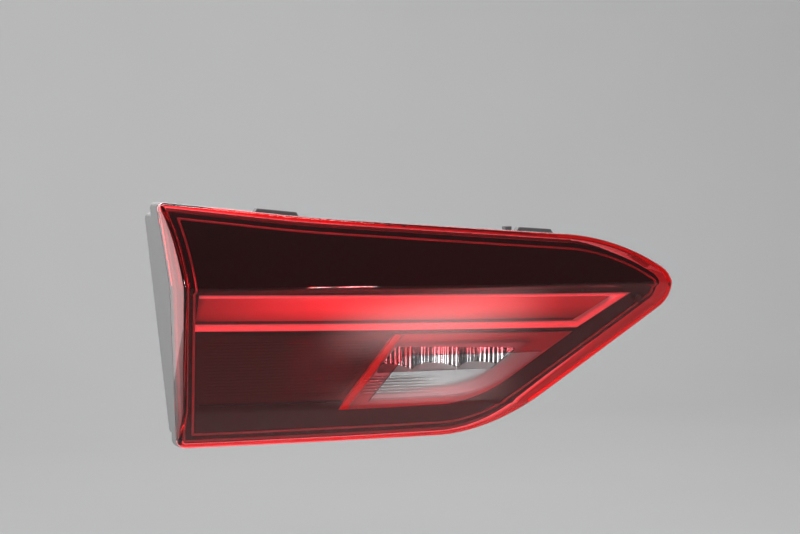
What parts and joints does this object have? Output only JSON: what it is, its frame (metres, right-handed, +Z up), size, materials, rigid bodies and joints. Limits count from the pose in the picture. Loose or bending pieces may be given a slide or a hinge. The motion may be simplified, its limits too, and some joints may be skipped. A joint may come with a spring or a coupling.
{
  "type": "tail light cluster",
  "caption": "Red tail lamp for a car's tailgate: curved two-colour lens over a light bar, ribbed fog light and clear reversing light, on a sealed housing with studs behind.",
  "frame": {"origin": "seat of the main stud on the mounting plane, at the height of the lens crease", "axes": "+X along the lamp's width towards its nose, +Y from the lens into the car body along the studs, +Z up"},
  "size_m": [0.3436, 0.1018, 0.1529],
  "materials": {
    "red_lens": "polished, seen through, red",
    "clear_lens": "polished, seen through, clear",
    "sealing_bead": "matt",
    "housing_plastic": "fine grained",
    "gloss_black": "polished black",
    "guide_plastic": "clear light guide, lit by the red lens",
    "diffuser_plastic": "milky",
    "trough_plastic": "white, matt",
    "circuit_board": "green solder mask",
    "light_source": "yellow phosphor on white",
    "fog_lens_red": "dark red, ribbed",
    "mirror_coat": "bright metal coat",
    "bulb_glass": "clear",
    "holder_plastic": "black, fine grained",
    "soft_seal": "matt foam rubber",
    "satin_bezel": "satin silver coat",
    "chip_plastic": "black",
    "cover_plastic": "black, fine grained",
    "zinc_steel": "zinc plated",
    "contact_metal": "tinned brass"
  },
  "bodies": {
    "root": {"outer_lens": "red_lens", "clear_window": "clear_lens", "lens_seal": "sealing_bead", "housing": "housing_plastic", "bezel": "gloss_black", "bar_light_guide": "guide_plastic", "bar_diffuser": "diffuser_plastic", "bar_trough": "trough_plastic", "bar_led_board": "circuit_board", "bar_leds": "light_source", "fog_lens": "fog_lens_red", "fog_reflector": "mirror_coat", "fog_bulb": "bulb_glass", "fog_bulb_holder": "holder_plastic", "fog_holder_seal": "soft_seal", "reverse_bezel": "satin_bezel", "reverse_reflector": "mirror_coat", "reverse_led_board": "circuit_board", "reverse_leds": "light_source", "driver_board": "circuit_board", "driver_parts": "chip_plastic", "driver_cover": "cover_plastic", "driver_cover_seal": "soft_seal", "driver_cover_screws": "zinc_steel", "connector_pins": "contact_metal", "vent_cap": "holder_plastic", "rear_gasket": "soft_seal", "main_stud": "zinc_steel", "tip_stud": "zinc_steel", "lower_stud": "zinc_steel", "bezel_screw": "zinc_steel", "trough_screws": "zinc_steel"}
  },
  "joints": []
}
